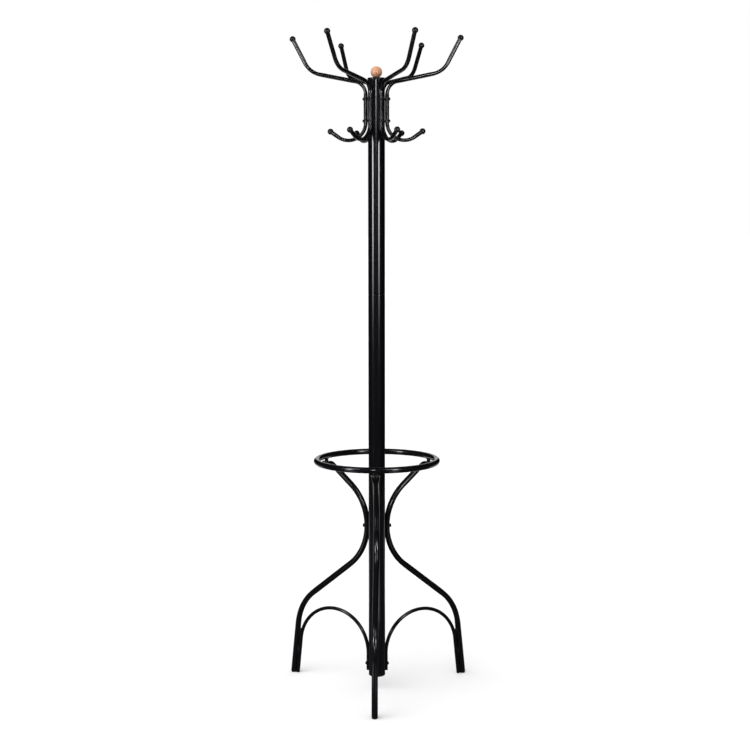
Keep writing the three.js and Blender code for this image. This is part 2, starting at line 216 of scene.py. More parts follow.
# %% Make the moulded black polypropylene
def moulded_black_polypropylene():
    material, tree, shader = finish("moulded_black_polypropylene", {"IOR": 1.49})
    place = add(tree, "TexCoord").outputs["Object"]
    flow = add(tree, "TexNoise", {"Vector": place, "Scale": per_mm(9), "Detail": 3.0, "Distortion": 0.6})
    colour = add(tree, "Mix", {FACTOR: flow.outputs["Fac"], FIRST: linear("#0b0b0d"),
                               SECOND: linear("#141416")}, data_type="RGBA")
    gloss = add(tree, "MapRange", {"Value": flow.outputs["Fac"], "From Min": 0.3, "From Max": 0.7,
                                   "To Min": 0.26, "To Max": 0.36})
    grain = add(tree, "TexNoise", {"Vector": place, "Scale": per_mm(0.6), "Detail": 2.0})
    eroded = add(tree, "Bump", {"Height": grain.outputs["Fac"], "Strength": 0.4, "Distance": 0.015 * MM})
    feed(tree, shader, {"Base Color": colour.outputs[MIXED], "Roughness": gloss.outputs["Result"],
                        "Normal": eroded.outputs["Normal"]})
    return material


plastic = moulded_black_polypropylene()
print("finish:", plastic.name)

# %% [markdown]
# ## Blackened screws
# The screws are zinc plated and then dipped black. The dip is a thin conversion coat and the metal still
# shows through it, so the heads have a dull grey sheen with slightly rubbed spots, unlike the enamel.

# %% Make the blackened zinc
def black_passivated_zinc():
    material, tree, shader = finish("black_passivated_zinc", {"Metallic": 0.85})
    place = add(tree, "TexCoord").outputs["Object"]
    mottle = add(tree, "TexNoise", {"Vector": place, "Scale": per_mm(1.5), "Detail": 4.0})
    colour = add(tree, "Mix", {FACTOR: mottle.outputs["Fac"], FIRST: linear("#121214"),
                               SECOND: linear("#3a3a3e")}, data_type="RGBA")
    rough = add(tree, "MapRange", {"Value": mottle.outputs["Fac"], "To Min": 0.28, "To Max": 0.5})
    feed(tree, shader, {"Base Color": colour.outputs[MIXED], "Roughness": rough.outputs["Result"]})
    return material


screw_black = black_passivated_zinc()
print("finish:", screw_black.name)

# %% [markdown]
# ## Bright zinc
# The sleeves inside the pole and the finial's stud never show on a finished rack, so they are only plated,
# not enamelled. Zinc plate is pale and slightly blue, with fine lines along the length the tube was drawn in.

# %% Make the bright zinc plate
def bright_zinc_plate():
    material, tree, shader = finish("bright_zinc_plate", {"Metallic": 1.0})
    place = add(tree, "TexCoord").outputs["Object"]
    stretched = add(tree, "Mapping", {"Vector": place, "Scale": (1, 1, 0.02)})
    lines = add(tree, "TexNoise", {"Vector": stretched.outputs["Vector"], "Scale": per_mm(0.8), "Detail": 3.0})
    colour = add(tree, "Mix", {FACTOR: lines.outputs["Fac"], FIRST: linear("#8f9499"),
                               SECOND: linear("#c3c8cc")}, data_type="RGBA")
    rough = add(tree, "MapRange", {"Value": lines.outputs["Fac"], "To Min": 0.25, "To Max": 0.45})
    feed(tree, shader, {"Base Color": colour.outputs[MIXED], "Roughness": rough.outputs["Result"]})
    return material


zinc = bright_zinc_plate()
print("finish:", zinc.name)

# %% [markdown]
# ## Lacquered beech
# The finial is turned from beech. Beech is pinkish tan with growth lines about 2.5 mm apart, and short dark
# flecks, its rays, 1 to 3 mm long along the grain. The lathe leaves faint rings round the ball, and a thin
# satin lacquer over the wood gives it a soft, broad highlight. The grain runs up the ball's axis.

# %% Make the lacquered beech
def lacquered_beech(centre):
    material, tree, shader = finish("lacquered_beech", {"Coat Weight": 0.25, "Coat Roughness": 0.25})
    place = add(tree, "TexCoord").outputs["Object"]
    from_middle = add(tree, "VectorMath", {0: place, 1: centre}, operation="SUBTRACT").outputs["Vector"]
    along = add(tree, "Mapping", {"Vector": from_middle, "Rotation": (0.12, 0.2, 0.6), "Scale": (1, 1, 0.25)})
    growth = add(tree, "TexWave", {"Vector": along.outputs["Vector"], "Scale": per_mm(2.5) / 20 * math.pi,
                                   "Distortion": 2.2, "Detail": 2.0, "Detail Scale": 1.5})
    rings = add(tree, "Mix", {FACTOR: growth.outputs["Fac"], FIRST: linear("#d9a07c"),
                              SECOND: linear("#c98c66")}, data_type="RGBA")
    drawn_out = add(tree, "Mapping", {"Vector": from_middle, "Scale": (1, 1, 0.22)})
    rays = add(tree, "TexNoise", {"Vector": drawn_out.outputs["Vector"], "Scale": per_mm(0.7), "Detail": 1.0})
    flecks = add(tree, "MapRange", {"Value": rays.outputs["Fac"], "From Min": 0.6, "From Max": 0.7,
                                    "To Max": 0.55})
    colour = add(tree, "Mix", {FACTOR: flecks.outputs["Result"], FIRST: rings.outputs[MIXED],
                               SECOND: linear("#9c623f")}, data_type="RGBA")
    height = add(tree, "SeparateXYZ", {"Vector": from_middle})
    around_lathe = add(tree, "Math", {0: height.outputs["Z"], 1: per_mm(0.8) * math.tau}, operation="MULTIPLY")
    ridges = add(tree, "Math", {0: around_lathe.outputs[0]}, operation="SINE")
    turned = add(tree, "Bump", {"Height": ridges.outputs[0], "Strength": 0.3, "Distance": 0.01 * MM})
    rough = add(tree, "MapRange", {"Value": rays.outputs["Fac"], "To Min": 0.38, "To Max": 0.52})
    feed(tree, shader, {"Base Color": colour.outputs[MIXED], "Roughness": rough.outputs["Result"],
                        "Normal": turned.outputs["Normal"]})
    return material


ball_low, ball_high = span("finial_ball")
beech = lacquered_beech(list((ball_low + ball_high) / 2 * MM))
print("finish:", beech.name)

# %% [markdown]
# ## From points to pieces
# Every piece is built in one working frame: millimetres, x out from the pole, y across, z up. `shell` joins
# rings of points into a closed skin, which is all that a turned, swept or looped piece is. `piece` turns the
# skin about the pole to its azimuth, makes the object with its material, parents it to the rack, and hides
# the CAD node that it stands in for.

# %% Mesh and piece helpers
SHARP = math.radians(38)


def shell(rings, closed=False):
    """A skin through rings of points: each ring joins the next, and open ends are closed with a face."""
    skin = bmesh.new()
    rows = [[skin.verts.new(point) for point in ring] for ring in rings]
    pairs = list(zip(rows, rows[1:])) + ([(rows[-1], rows[0])] if closed else [])
    for low, high in pairs:
        for i in range(len(low)):
            j = (i + 1) % len(low)
            skin.faces.new((low[i], low[j], high[j], high[i]))
    if not closed:
        skin.faces.new(rows[0])
        skin.faces.new(rows[-1])
    bmesh.ops.recalc_face_normals(skin, faces=skin.faces)
    return skin


def together(*skins):
    """Several skins as one."""
    whole = bmesh.new()
    for skin in skins:
        part = bpy.data.meshes.new("part")
        skin.to_mesh(part)
        whole.from_mesh(part)
        bpy.data.meshes.remove(part)
    return whole


def moved(skin, matrix):
    """A copy of a skin, moved within the working frame."""
    copy = skin.copy()
    copy.transform(matrix)
    return copy


def in_scene(name, data):
    """A new object with this data, linked into the scene."""
    made = bpy.data.objects.new(name, data)
    bpy.context.scene.collection.objects.link(made)
    return made


def piece(name, skin, material, node, azimuth=0.0):
    """The finished piece: turned to its azimuth, in metres, riding on the rack in place of its CAD node."""
    mesh = bpy.data.meshes.new(name)
    skin.to_mesh(mesh)
    turn = Matrix.Rotation(math.radians(azimuth), 4, "Z")
    mesh.transform(Matrix.Scale(MM, 4) @ Matrix.Translation(AXIS) @ turn)
    mesh.shade_smooth()
    mesh.set_sharp_from_angle(angle=SHARP)
    mesh.materials.append(material)
    made = in_scene(name, mesh)
    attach(made, "root")
    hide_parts(node)
    return made


# %% [markdown]
# ## Turned shapes
# A lathe makes round pieces from a profile, and so does this: `turned` spins a list of radius and height
# round the upright axis. Real edges are never sharp, so `eased` rounds each corner of a profile first. A
# profile that starts and ends on the axis makes a solid, and one that comes back to its start a tube.

# %% Profile helpers
def eased(corners, steps=4):
    """A profile of (radius, height, rounding) with each corner replaced by a short curve."""
    points = []
    count = len(corners)
    for i, (r, h, ease) in enumerate(corners):
        here = Vector((r, h))
        if not ease or i in (0, count - 1):
            points.append(here)
            continue
        before = Vector(corners[i - 1][:2]) - here
        after = Vector(corners[i + 1][:2]) - here
        start = here + before.normalized() * min(ease, before.length / 2)
        end = here + after.normalized() * min(ease, after.length / 2)
        for k in range(steps + 1):
            t = k / steps
            points.append(start * (1 - t) ** 2 + here * 2 * t * (1 - t) + end * t ** 2)
    return points


def turned(profile, sides=64, hollow=False):
    """A skin of revolution about the upright axis from a profile of radius and height."""
    tiny = 0.01
    rings = []
    for r, h in profile:
        angles = (math.tau * i / sides for i in range(sides))
        rings.append([(max(r, tiny) * math.cos(a), max(r, tiny) * math.sin(a), h) for a in angles])
    return shell(rings, closed=hollow)


def arc(radius, middle, start, end, steps):
    """Profile points on a circle about the axis, between two angles from level, in degrees."""
    turns = (math.radians(start + (end - start) * i / steps) for i in range(steps + 1))
    return [(radius * math.cos(t), middle + radius * math.sin(t)) for t in turns]


print("an eased corner has", len(eased([(0, 0, 0), (1, 0, 0.2), (1, 1, 0)])) - 2, "points")

# %% [markdown]
# ## The pole
# A pole of this height ships in three lengths of 44 mm tube, because the carton is short. Each length is sawn
# and its edges deburred, so the joints show as thin dark lines. Above each joint the fitter punches a small
# dimple that stops the sleeve inside from sliding. The dimple is pressed into the mesh, which is why the
# profile has many rings near it and why the tube has so many sides. One more ring stands close behind each
# deburred edge: smooth shading blends from ring to ring, and without it the edge's slope would tint the
# reflections far along the tube.

# %% Build the three lengths of the pole
POLE_RADIUS = 22
POLE_WALL = 1.2
DEBURRED = 0.5
BORE_DEBURRED = 0.2
POLE_SIDES = 120
POLE_RINGS = 5  # plain rings along each length
DIMPLE_ABOVE = 20
DIMPLE_AZIMUTH = math.radians(-131)
DIMPLE_RADIUS = 3.4
DIMPLE_DEPTH = 0.9
DIMPLE_RING_STEP = 0.5
DIMPLE_RINGS = 8  # to each side of the dimple's middle


def pole_length(bottom, top, dimpled):
    inner = POLE_RADIUS - POLE_WALL
    corners = [(inner, bottom, BORE_DEBURRED), (POLE_RADIUS, bottom, DEBURRED),
               (POLE_RADIUS, top, DEBURRED), (inner, top, BORE_DEBURRED)]
    rim = eased([corners[3], *corners, corners[0]])[1:-1]
    split = max(i for i, p in enumerate(rim) if p.y < (bottom + top) / 2 and p.x > POLE_RADIUS - 0.01) + 1
    middle = bottom + DIMPLE_ABOVE
    heights = [bottom + 2 * DEBURRED, top - 2 * DEBURRED]
    heights += [bottom + (top - bottom) * k / (POLE_RINGS + 1) for k in range(1, POLE_RINGS + 1)]
    if dimpled:
        heights += [middle + DIMPLE_RING_STEP * step for step in range(-DIMPLE_RINGS, DIMPLE_RINGS + 1)]
    body = [Vector((POLE_RADIUS, h)) for h in sorted(heights)]
    skin = turned(rim[:split] + body + rim[split:], POLE_SIDES, hollow=True)
    if dimpled:
        angle = DIMPLE_AZIMUTH
        centre = Vector((POLE_RADIUS * math.cos(angle), POLE_RADIUS * math.sin(angle), middle))
        for vert in skin.verts:
            away = (vert.co - centre).length / DIMPLE_RADIUS
            if away < 1 and vert.co.xy.length > POLE_RADIUS - 0.01:
                sink = DIMPLE_DEPTH * math.cos(away * math.pi / 2) ** 2
                vert.co.xy *= 1 - sink / POLE_RADIUS
    return skin


for part, bottom, top, dimpled in (("lower", POLE_FOOT, LOWER_SEAM, False),
                                   ("middle", LOWER_SEAM + GAP, UPPER_SEAM, True),
                                   ("upper", UPPER_SEAM + GAP, POLE_TOP, True)):
    skin = pole_length(bottom, top, dimpled)
    tube = piece(f"pole_tube_{part}", skin, enamel, f"pole_{part}")
    print(tube.name, round(top - bottom, 1), "mm,", len(tube.data.polygons), "faces")

# %% [markdown]
# ## The caps
# A moulded cap closes each end of the pole. The top one has a thin rim, a little wider than the tube, that
# carries the ball. The foot one has a deep flange, and its fitter left it 3 mm short of home, so a bare neck
# shows under the tube. Both are shells with a spigot inside, so a profile describes them completely.

# %% Build the caps
SPIGOT = POLE_RADIUS - POLE_WALL - GAP
CAP_WALL = 2.4
top_low, top_high = span("pole_top_cap")
rim_bottom = POLE_TOP + GAP
rim_radius = (top_high.x - top_low.x) / 2
top_cap = turned(eased([
    (0, rim_bottom - 1, 0), (SPIGOT - CAP_WALL, rim_bottom - 1, 0.6), (SPIGOT - CAP_WALL, top_low.z, 0.4),
    (SPIGOT, top_low.z, 0.8), (SPIGOT, rim_bottom, 0.3), (rim_radius, rim_bottom, 0.5),
    (rim_radius, top_high.z, 1.6), (0, top_high.z, 0)]), 96)
piece("pole_cap_upper", top_cap, plastic, "pole_top_cap")

foot_low, foot_high = span("pole_foot_cap")
flange_top = POLE_FOOT - 3
floor_of_cap = foot_low.z + 4
foot_cap = turned(eased([
    (0, foot_low.z, 0), (POLE_RADIUS, foot_low.z, 3.2), (POLE_RADIUS, flange_top, 1.2),
    (SPIGOT, flange_top, 0.4), (SPIGOT, foot_high.z, 0.8), (SPIGOT - CAP_WALL, foot_high.z, 0.4),
    (SPIGOT - CAP_WALL, floor_of_cap, 1.0), (0, floor_of_cap, 0)]), 96)
piece("pole_cap_lower", foot_cap, plastic, "pole_foot_cap")
print("rim", round(rim_radius, 1), "mm, flange", round(flange_top - foot_low.z, 1), "mm deep")

# %% [markdown]
# ## The wooden ball
# The ball is a full sphere with a small flat turned on its underside to sit on the cap, and the flat's edge
# is sanded round. The sphere is drawn as one arc, fine enough that its outline is smooth at any distance.

# %% Build the finial
BALL = 15
flat_bottom = ball_low.z
ball_middle = ball_high.z - BALL
flat_angle = -math.degrees(math.acos(math.sqrt(BALL ** 2 - (ball_middle - flat_bottom) ** 2) / BALL))
flat_radius = BALL * math.cos(math.radians(flat_angle))
outline = [(0, flat_bottom), (flat_radius - 0.8, flat_bottom)] + arc(BALL, ball_middle, flat_angle + 2, 90, 48)
piece("finial_turning", turned(outline, 96), beech, "finial_ball")
print("ball", 2 * BALL, "mm on a flat", round(2 * flat_radius, 1), "mm across")

# %% [markdown]
# ## Bending a bar
# A tube bender is set with a list of straight runs and bends, and this is that list. Two of the runs are left
# open, and are worked out so that the bar ends where it has to. `walk` follows the list in small steps and
# notes how bent the tube is at each one, because a bent tube goes oval: it narrows in the plane of the bend
# by about its radius over the bend's, and widens across it by half as much.

# %% Bar helpers
class Run:
    """A straight run of a bar; with no length given, it is worked out."""
    def __init__(self, length=None):
        self.length = length


class Bend:
    """A bend of a bar: degrees, positive to turn from level towards upright, and the radius in millimetres."""
    def __init__(self, degrees, radius):
        self.turn = math.radians(degrees)
        self.radius = radius


def step_of(move, angle):
    """How far a move goes, from a heading, and the heading it ends on."""
    if isinstance(move, Run):
        length = move.length or 0
        return Vector((math.cos(angle), math.sin(angle))) * length, angle
    end = angle + move.turn
    side = math.copysign(move.radius, move.turn)
    return Vector((math.sin(end) - math.sin(angle), math.cos(angle) - math.cos(end))) * side, end


def fitted(start, heading, moves, target):
    """The same moves with the two open runs worked out, so that the bar ends at the target."""
    angle, at, ways = math.radians(heading), Vector(start), []
    for move in moves:
        if isinstance(move, Run) and move.length is None:
            ways.append((move, Vector((math.cos(angle), math.sin(angle)))))
        step, angle = step_of(move, angle)
        at += step
    (first, a), (second, b) = ways
    gap = Vector(target) - at
    area = a.x * b.y - a.y * b.x
    first.length = (gap.x * b.y - gap.y * b.x) / area
    second.length = (a.x * gap.y - a.y * gap.x) / area
    return moves


STRAIGHT_STEP = 7
BEND_STEP = math.radians(3)
OVAL_EASE = 9  # how far past a bend's end the tube is still a little oval


def walk(start, heading, moves, radius):
    """Stations along a bar: (point, heading, distance, how oval)."""
    angle, at, far, stations, bends = math.radians(heading), Vector(start), 0.0, [], []
    for move in moves:
        straight = isinstance(move, Run)
        length = move.length if straight else abs(move.turn) * move.radius
        count = math.ceil(length / STRAIGHT_STEP) if straight else math.ceil(abs(move.turn) / BEND_STEP)
        if not straight:
            bends.append((far, far + length, radius / move.radius))
        small = Run(length / count) if straight else Bend(math.degrees(move.turn) / count, move.radius)
        for _ in range(count):
            stations.append((at.copy(), angle, far))
            step, angle = step_of(small, angle)
            at += step
            far += length / count
    stations.append((at.copy(), angle, far))

    def oval(s):
        share = 0.0
        for begin, end, most in bends:
            rise = min(max((s - begin + OVAL_EASE) / (2 * OVAL_EASE), 0), 1)
            fall = min(max((end + OVAL_EASE - s) / (2 * OVAL_EASE), 0), 1)
            share = max(share, most * (rise * fall) ** 1.5)
        return share

    return [(point, angle, s, oval(s)) for point, angle, s in stations]


def ring_at(point, angle, across, deep, sides, square=1.0):
    """One ring of a swept bar: half width across the plane, half depth in it, and how squared its shape is."""
    up = Vector((-math.sin(angle), math.cos(angle)))
    ring = []
    for i in range(sides):
        turn = math.tau * i / sides
        c, s = math.cos(turn), math.sin(turn)
        c = math.copysign(abs(c) ** square, c)
        s = math.copysign(abs(s) ** square, s)
        ring.append((point.x + up.x * deep * c, across * s, point.y + up.y * deep * c))
    return ring


TUBE_WALL = 1.1
# (inset, distance back) round a deburred sawn edge, then across the wall and up the bore
SAWN_EDGE = [(0.0, 1.2), (0.0, 0.45), (0.12, 0.14), (0.4, 0.0)]
BORE = [(TUBE_WALL - 0.2, 0.0), (TUBE_WALL, 0.2), (TUBE_WALL, 22.0)]


def swept(stations, radius, sides=40, open_ends=(True, True), shape=None):
    """A bent tube. Shape gives (across, deep, square) at a distance along it, for a pressed end."""
    def section(s, oval):
        if shape:
            pressed = shape(s)
            if pressed:
                return pressed
        return radius * (1 + oval / 2), radius * (1 - oval), 1.0

    rings = []
    for point, angle, s, oval in stations:
        across, deep, square = section(s, oval)
        rings.append(ring_at(point, angle, across, deep, sides, square))
    for which, is_open in enumerate(open_ends):
        point, angle, s, oval = stations[0 if which == 0 else -1]
        back = Vector((math.cos(angle), math.sin(angle))) * (1 if which == 0 else -1)
        across, deep, square = section(s, oval)
        edge = [ring_at(point + back * d, angle, across - inset, deep - inset, sides, square)
                for inset, d in SAWN_EDGE + (BORE if is_open else [])]
        rings = [*reversed(edge), *rings[1:]] if which == 0 else [*rings[:-1], *edge]
    return shell(rings)


print("a bar of radius 5.5 in a bend of 34 goes oval by", round(100 * 5.5 / 34), "per cent")

# %% [markdown]
# ## Screws
# Each screw is a pan head with a cross recess. The head is turned from its profile, and the recess is cut
# with two crossed, tapered blades by a boolean, the way the punch makes it. There are only four sizes, so
# each is cut once and copied.

# %% Build the four sizes of screw
RECESS_REACH = 0.62
RECESS_WIDTH = 0.2
RECESS_DEPTH = 0.62
RECESS_TAPER = 0.45


def blade(length, width, deep, top):
    """A wedge that narrows as it goes down, like an upside-down pyramid."""
    wide = [(-length, -width), (length, -width), (length, width), (-length, width)]
    bottom = [(x * RECESS_TAPER, y * RECESS_TAPER, top - deep) for x, y in wide]
    return shell([bottom, [(x, y, top + 1) for x, y in wide]])


def cut_away(skin, tool):
    """The skin with the tool's shape taken out of it."""
    pair = []
    for name, part in (("blank", skin), ("punch", tool)):
        mesh = bpy.data.meshes.new(name)
        part.to_mesh(mesh)
        pair.append(in_scene(name, mesh))
    blank, punch = pair
    cutter = blank.modifiers.new("recess", "BOOLEAN")
    cutter.object = punch
    cutter.operation = "DIFFERENCE"
    cutter.solver = "EXACT"
    bpy.context.view_layer.update()
    result = bmesh.new()
    result.from_mesh(blank.evaluated_get(bpy.context.evaluated_depsgraph_get()).to_mesh())
    for part in pair:
        bpy.data.meshes.remove(part.data)
    return result


def screw(head, rise, shank, length):
    """A pan head screw: its shank runs down from z = 0 and its head stands above."""
    profile = eased([
        (0, -length, 0), (shank, -length, 0.3), (shank, 0, 0), (head, 0, 0.25), (head, 0.45 * rise, 0.5),
        (0.82 * head, 0.86 * rise, 0.8), (0.3 * head, rise, 0.6), (0, rise, 0)])
    blank = turned(profile, 40)
    tools = [blade(RECESS_REACH * head, RECESS_WIDTH * head, RECESS_DEPTH * rise, rise)]
    tools.append(moved(tools[0], Matrix.Rotation(math.pi / 2, 4, "Z")))
    for tool in tools:
        blank = cut_away(blank, tool)
    return blank


SCREWS = {
    "hook": screw(3.9, 2.6, 2, 18),
    "leg": screw(5.2, 3.2, 2.5, 26),
    "brace": screw(4.4, 2.8, 2, 20),
    "ring": screw(4.2, 2.8, 2, 9),
}
LIE_OUT = Matrix.Rotation(math.pi / 2, 4, "Y")
print("screw faces:", {kind: len(skin.faces) for kind, skin in SCREWS.items()})


def side_screw(kind, name, node, reach, height, azimuth, twist):
    """A screw that goes straight into the pole, with its recess turned as it happened to stop."""
    put = Matrix.Translation((reach, 0, height)) @ LIE_OUT @ Matrix.Rotation(math.radians(twist), 4, "Z")
    return piece(name, moved(SCREWS[kind], put), screw_black, node, azimuth)


# %% [markdown]
# ## Weld beads
# The braces are welded to the shins and three bosses to the ring, with the bead left as it froze: a row of
# small overlapping ripples. `bead` draws it as a thin rope whose thickness rises and falls every 2 mm. It is
# part of the piece that it belongs to, and the enamel covers both.

# %% Weld helper
RIPPLE = 2.1


def bead(path, radius, closed=False, sides=12):
    """A rippled rope of weld along a path of points."""
    rings, far = [], 0.0
    count = len(path)
    for i, at in enumerate(path):
        ahead = path[(i + 1) % count] if closed or i + 1 < count else at
        behind = path[i - 1] if closed or i else at
        way = (ahead - behind).normalized()
        side = way.cross(Vector((0.3, 0.2, 1))).normalized()
        lift = side.cross(way)
        far += (at - path[i - 1]).length if i else 0.0
        thick = radius * (1 + 0.16 * math.sin(math.tau * far / RIPPLE))
        if not closed:
            thick *= max(0.1, math.sin(math.pi * min(1, max(0, (i + 0.3) / (count - 0.4)))) ** 0.35)
        rings.append([at + (side * math.cos(a) + lift * math.sin(a)) * thick
                      for a in (math.tau * k / sides for k in range(sides))])
    return shell(rings, closed)


print("ripples every", RIPPLE, "mm")

# %% [markdown]
# ## The legs
# Each leg is one 16 mm tube: up from the foot, over the knee, in to touch the pole at the waist, and out
# again to the ring. Its top end is pressed flat in a tool, and a flattened tube keeps its outline's length, so
# 16 mm round becomes 23 mm wide and 4.4 thick. `pressed` blends the round section into that flat one and
# rounds the end off like a spoon.

# %% Set out the legs
LEG_AZIMUTHS = {"front": -90, "right": 30, "left": 150}
LEG_RADIUS = 8
FOOT_REACH = 270
FOOT_GAP = 3
LEAN = 6.5
WAIST_HEIGHT = 437
WAIST_REACH = POLE_RADIUS + GAP + LEG_RADIUS
RING_RADIUS = 159
PAD_MIDDLE = 599.0
PAD_HALF_WIDTH = 11.5
PAD_HALF_THICKNESS = 2.2
PAD_PAST_RING = 12
lean = math.radians(LEAN)


def leg_moves():
    thigh = [Run(), Bend(52 - LEAN, 132), Run(), Bend(-52, 140)]
    foot = (FOOT_REACH - FOOT_GAP * math.tan(lean), FOOT_GAP)
    thigh = fitted(foot, 90 + LEAN, thigh, (WAIST_REACH, WAIST_HEIGHT))
    upper = [Bend(-50, 140), Run(), Bend(-40, 18), Run()]
    upper = fitted((WAIST_REACH, WAIST_HEIGHT), 90, upper, (RING_RADIUS, PAD_MIDDLE))
    upper[-1].length += PAD_PAST_RING
    return foot, thigh + upper


foot_point, moves = leg_moves()
leg_line = walk(foot_point, 90 + LEAN, moves, LEG_RADIUS)
leg_length = leg_line[-1][2]
print("leg tube is", round(leg_length), "mm long before pressing")

# %% Press the leg's end and build the legs
PRESS_START = 62  # the tube starts to flatten this far from its end
PRESS_FLAT = 32  # and is flat from here on


def pressed(s):
    left = leg_length - s
    if left > PRESS_START:
        return None
    t = min(1, (PRESS_START - left) / (PRESS_START - PRESS_FLAT))
    t = t * t * (3 - 2 * t)
    wide = LEG_RADIUS + (PAD_HALF_WIDTH - LEG_RADIUS) * t
    deep = LEG_RADIUS + (PAD_HALF_THICKNESS - LEG_RADIUS) * t
    if left < PAD_HALF_WIDTH:
        wide *= math.sqrt(max(0.02, 1 - (1 - left / PAD_HALF_WIDTH) ** 2))
    return wide, deep, 1 - 0.45 * t


FINE_END = 12  # the rounded tip needs closer rings from here on
FINE_STEP = 0.75
fine_line = [station for station in leg_line if leg_length - station[2] > FINE_END]
end_point, end_angle, _, _ = leg_line[-1]
end_way = Vector((math.cos(end_angle), math.sin(end_angle)))
for left in [FINE_END - FINE_STEP * k for k in range(1, 16)] + [0.35, 0.1, 0.0]:
    fine_line.append((end_point - end_way * left, end_angle, leg_length - left, 0.0))
leg_skin = swept(fine_line, LEG_RADIUS, 44, (True, False), pressed)
for side, azimuth in LEG_AZIMUTHS.items():
    leg = piece(f"{side}_leg_tube", leg_skin, enamel, f"{side}_leg", azimuth)
print(leg.name, len(leg.data.polygons), "faces")

# %% [markdown]
# ## The foot glides
# A moulded glide is pushed into each leg's sawn end and stands a little narrower than the tube. The leg
# leans out, so the glide is turned round the leg's own line and then worn flat to the floor: any point of it
# that would be below the floor is lifted to it.

# %% Build the foot glides
GLIDE_RADIUS = 7.3
STEM_RADIUS = 6.2
STEM_LENGTH = 16
home = FOOT_GAP / math.cos(lean) - GAP
glide = turned(eased([
    (0, -1.6, 0), (5.6, -1.6, 0.8), (GLIDE_RADIUS, 0.9, 1.1), (GLIDE_RADIUS, home, 0.3),
    (STEM_RADIUS, home, 0.1), (STEM_RADIUS, home + STEM_LENGTH, 0.8), (0, home + STEM_LENGTH, 0)]), 48)
glide.transform(Matrix.Translation((FOOT_REACH, 0, 0)) @ Matrix.Rotation(-lean, 4, "Y"))
for vert in glide.verts:
    vert.co.z = max(vert.co.z, 0)
bmesh.ops.remove_doubles(glide, verts=glide.verts, dist=0.002)
for side, azimuth in LEG_AZIMUTHS.items():
    piece(f"{side}_foot_glide", glide, plastic, f"{side}_foot_plug", azimuth)
print("glide stands", round(home, 2), "mm proud of the tube")

# %% [markdown]
# ## The braces
# A 10 mm tube springs from the pole's foot, arches over, and runs down the inside of the shin, where two
# short welds on each side hold it. Its arch has one radius, which follows from the space between the pole
# and the shin. Both its ends are sawn and left open.

# %% Build the braces
BRACE_RADIUS = 5
ARCH_TOP = 197
BRACE_END = 42
BRACE_FLOOR_GAP = 1.5
BRACE_SCREW_HEIGHT = 60
BRACE_REACH = POLE_RADIUS + GAP + BRACE_RADIUS
apart = LEG_RADIUS + BRACE_RADIUS + GAP
arch_span = (FOOT_REACH - BRACE_REACH) * math.cos(lean) - ARCH_TOP * math.sin(lean) - apart
arch_radius = arch_span / (1 + math.cos(lean) - math.sin(lean))
brace_foot = (FOOT_REACH - apart / math.cos(lean) - BRACE_FLOOR_GAP * math.tan(lean), BRACE_FLOOR_GAP)
arch = fitted((BRACE_REACH, BRACE_END), 90, [Run(), Bend(LEAN - 180, arch_radius), Run()], brace_foot)
brace_skin = swept(walk((BRACE_REACH, BRACE_END), 90, arch, BRACE_RADIUS), BRACE_RADIUS, 32)

GROOVE_SIDE = 3.0  # how far to the side of the contact line a weld lies
GROOVE_IN = 8.15  # and how far inside the leg's middle line
WELDS = ((58, 78), (108, 128))  # heights along the shin
WELD_STEP = 0.5
WELD_RADIUS = 1.5


def shin_point(along, y):
    at_x = FOOT_REACH - along * math.sin(lean) - GROOVE_IN * math.cos(lean)
    return Vector((at_x, y, along * math.cos(lean) - GROOVE_IN * math.sin(lean)))


def shin_weld(low, high, y):
    steps = round((high - low) / WELD_STEP)
    return bead([shin_point(low + WELD_STEP * k, y) for k in range(steps + 1)], WELD_RADIUS)


beads = [shin_weld(low, high, y) for low, high in WELDS for y in (-GROOVE_SIDE, GROOVE_SIDE)]
welded_brace = together(brace_skin, *beads)
for side, azimuth in LEG_AZIMUTHS.items():
    piece(f"{side}_brace_tube", welded_brace, enamel, f"{side}_brace", azimuth)
print("arch radius", round(arch_radius, 1), "mm,", len(beads), "beads on each")

# %% [markdown]
# ## The umbrella ring
# The ring is a tube rolled round until its ends meet, butt welded, and ground nearly smooth, which leaves a
# slight swelling at the back. Three short bosses are welded underneath for the screws that hold the legs'
# flat ends. Each boss has its own bead, which follows the saddle where a round boss meets a round tube.

# %% Build the ring
BOSS_RADIUS = 5
boss_bottom = span("umbrella_ring")[0].z
SEAM_SWELL = 0.3
SEAM_HALF = 2.6
BOSS_WELD_CIRCLE = 5.5
BOSS_WELD_RADIUS = 1.0
BOSS_WELD_COVER = 0.3
BOSS_INSIDE = 4  # how far under the ring's middle line the boss ends, inside the tube


def rolled_ring(steps=180, sides=36):
    rings = []
    for i in range(steps):
        turn = math.tau * i / steps
        from_seam = RING_RADIUS * (((turn - math.pi / 2 + math.pi) % math.tau) - math.pi)
        tube = RING_TUBE + SEAM_SWELL * math.exp(-(from_seam / SEAM_HALF) ** 2)
        ring = []
        for k in range(sides):
            a = math.tau * k / sides
            out = RING_RADIUS + tube * math.cos(a)
            ring.append((out * math.cos(turn), out * math.sin(turn), RING_HEIGHT + tube * math.sin(a)))
        rings.append(ring)
    return shell(rings, closed=True)


def under_ring(reach, y, cover):
    """A point on the ring's underside, covered by some thickness of weld."""
    off = math.hypot(reach, y) - RING_RADIUS
    return Vector((reach, y, RING_HEIGHT - math.sqrt((RING_TUBE + cover) ** 2 - off ** 2)))


